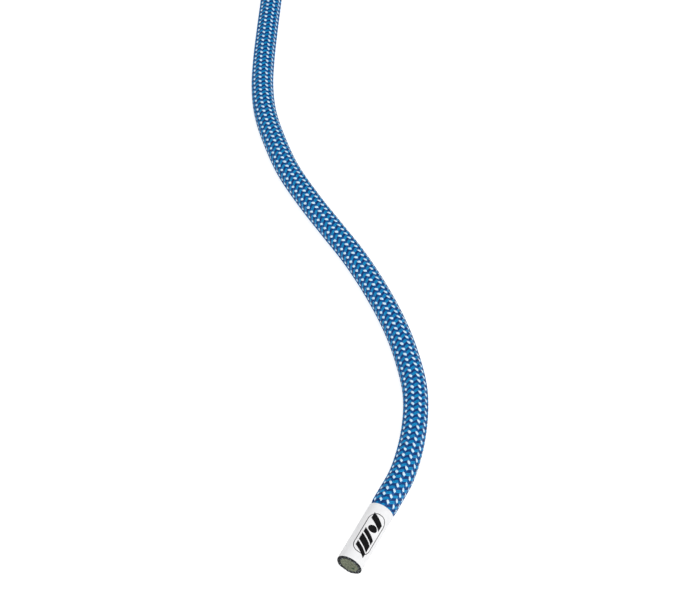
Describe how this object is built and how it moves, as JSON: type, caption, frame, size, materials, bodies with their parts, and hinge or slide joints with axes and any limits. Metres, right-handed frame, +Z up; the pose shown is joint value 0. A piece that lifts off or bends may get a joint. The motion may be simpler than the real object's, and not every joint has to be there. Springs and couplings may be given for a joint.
{
  "type": "dynamic climbing rope",
  "caption": "Braided kernmantle climbing rope, one sleeved end lying loose in an S-shaped curve and the rest wound into a flat-turned hank held by webbing ties.",
  "frame": {"origin": "on the surface the rope lies on, under the middle of the hank's near fold", "axes": "+Y from the loose end towards the hank, along the hank's legs; +X to the right; +Z up"},
  "size_m": [0.1715, 0.6715, 0.1402],
  "materials": {
    "sheath": "matte braided polyamide with white and dark blue yarns",
    "core": "matte twisted polyamide",
    "tracer": "matte twisted polyamide, dyed",
    "sleeve": "glossy heat-shrunk plastic",
    "plug": "melted and cut polyamide",
    "webbing": "matte woven webbing"
  },
  "bodies": {
    "root": {"hank": "sheath", "tie_near": "webbing", "tie_far": "webbing", "loose_sheath": "sheath", "loose_tracer_strand": "tracer", "core_strand_1": "core", "core_strand_2": "core", "core_strand_3": "core", "core_strand_4": "core", "core_strand_5": "core", "core_strand_6": "core", "core_strand_7": "core", "core_strand_8": "core", "core_strand_9": "core", "core_strand_10": "core", "core_strand_11": "core", "end_sleeve": "sleeve", "end_plug": "plug", "tail_sleeve": "sleeve", "tail_plug": "plug"}
  },
  "joints": []
}
